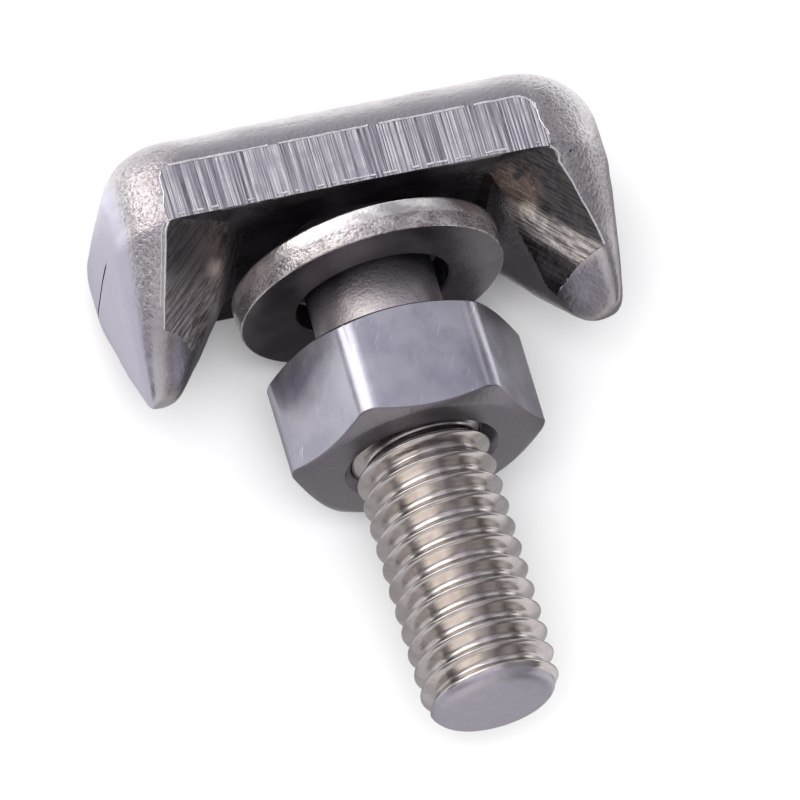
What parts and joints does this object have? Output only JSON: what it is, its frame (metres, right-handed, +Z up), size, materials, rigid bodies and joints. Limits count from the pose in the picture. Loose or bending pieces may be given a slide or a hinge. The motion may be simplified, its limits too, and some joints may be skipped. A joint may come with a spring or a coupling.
{
  "type": "t slot bolt",
  "caption": "Cast T-head bolt with tapered prongs, ground front side, plain neck and threaded stud, with a loose flat washer and a hex nut, lying on its back side.",
  "frame": {"origin": "under the stud's axis, at the middle of the overall length, on the surface that the bolt lies on", "axes": "+X along the T-head, -Y along the stud towards its free end, +Z up, the way the ground front side faces"},
  "size_m": [0.022, 0.027, 0.0117],
  "materials": {
    "cast_steel": "as cast, with a ground front face and a bright thread",
    "washer_steel": "satin, stamped",
    "nut_steel": "satin"
  },
  "bodies": {
    "bolt": {"t_bolt": "cast_steel"},
    "washer": {"flat_washer": "washer_steel"},
    "nut": {"hex_nut": "nut_steel"}
  },
  "joints": [
    {"name": "washer_spin", "type": "hinge", "parent": "bolt", "child": "washer", "pos_m": [0, 0, 0.00585], "axis": [0, -1, 0], "range_deg": [0, 4266]},
    {"name": "nut_travel", "type": "slide", "parent": "washer", "child": "nut", "axis": [0, -1, 0], "range_m": [0, 0.01185]}
  ],
  "couplings": [
    {"joint": "nut_travel", "follows": "washer_spin", "m_per_rad": 0.00015915}
  ]
}
